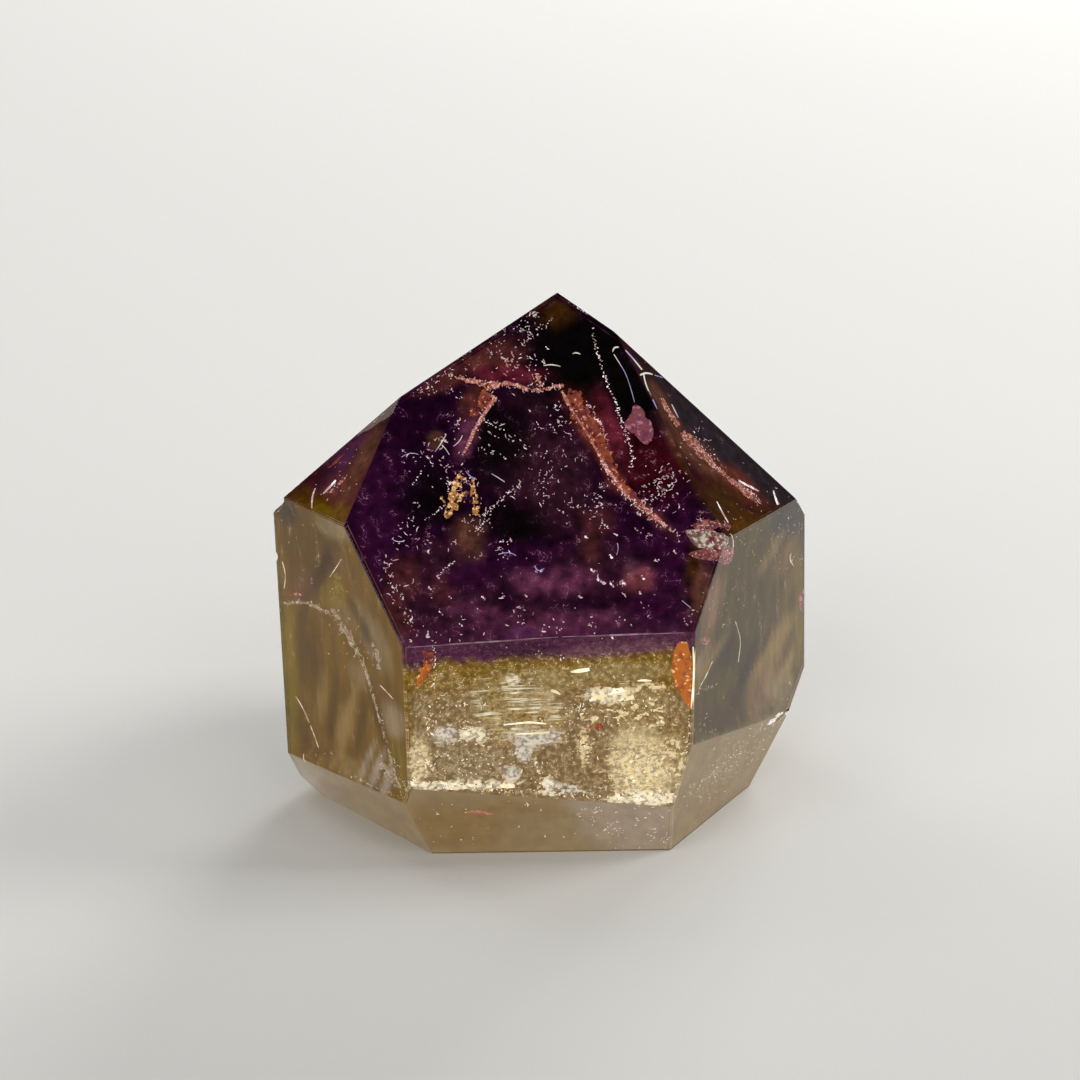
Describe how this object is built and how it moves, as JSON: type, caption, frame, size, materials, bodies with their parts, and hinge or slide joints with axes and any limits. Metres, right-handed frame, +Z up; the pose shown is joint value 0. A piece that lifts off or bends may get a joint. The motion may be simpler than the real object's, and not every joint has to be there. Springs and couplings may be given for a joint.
{
  "type": "polished quartz crystal point",
  "caption": "Stubby polished quartz point with a faceted tip, upright side faces, a bevelled foot and a flat base to stand on; purple over smoky olive, with red veils sealed inside.",
  "frame": {"origin": "centre of the crystal's bounding box at the level of its flat base", "axes": "+Z up along the crystal to its tip, -Y out of the front face, +X to the right seen from the front"},
  "size_m": [0.0498, 0.0442, 0.0476],
  "materials": {
    "quartz": "clear smoky olive quartz with a purple zone under the tip, polished to a high gloss"
  },
  "bodies": {
    "root": {"quartz_point": "quartz"}
  },
  "joints": []
}
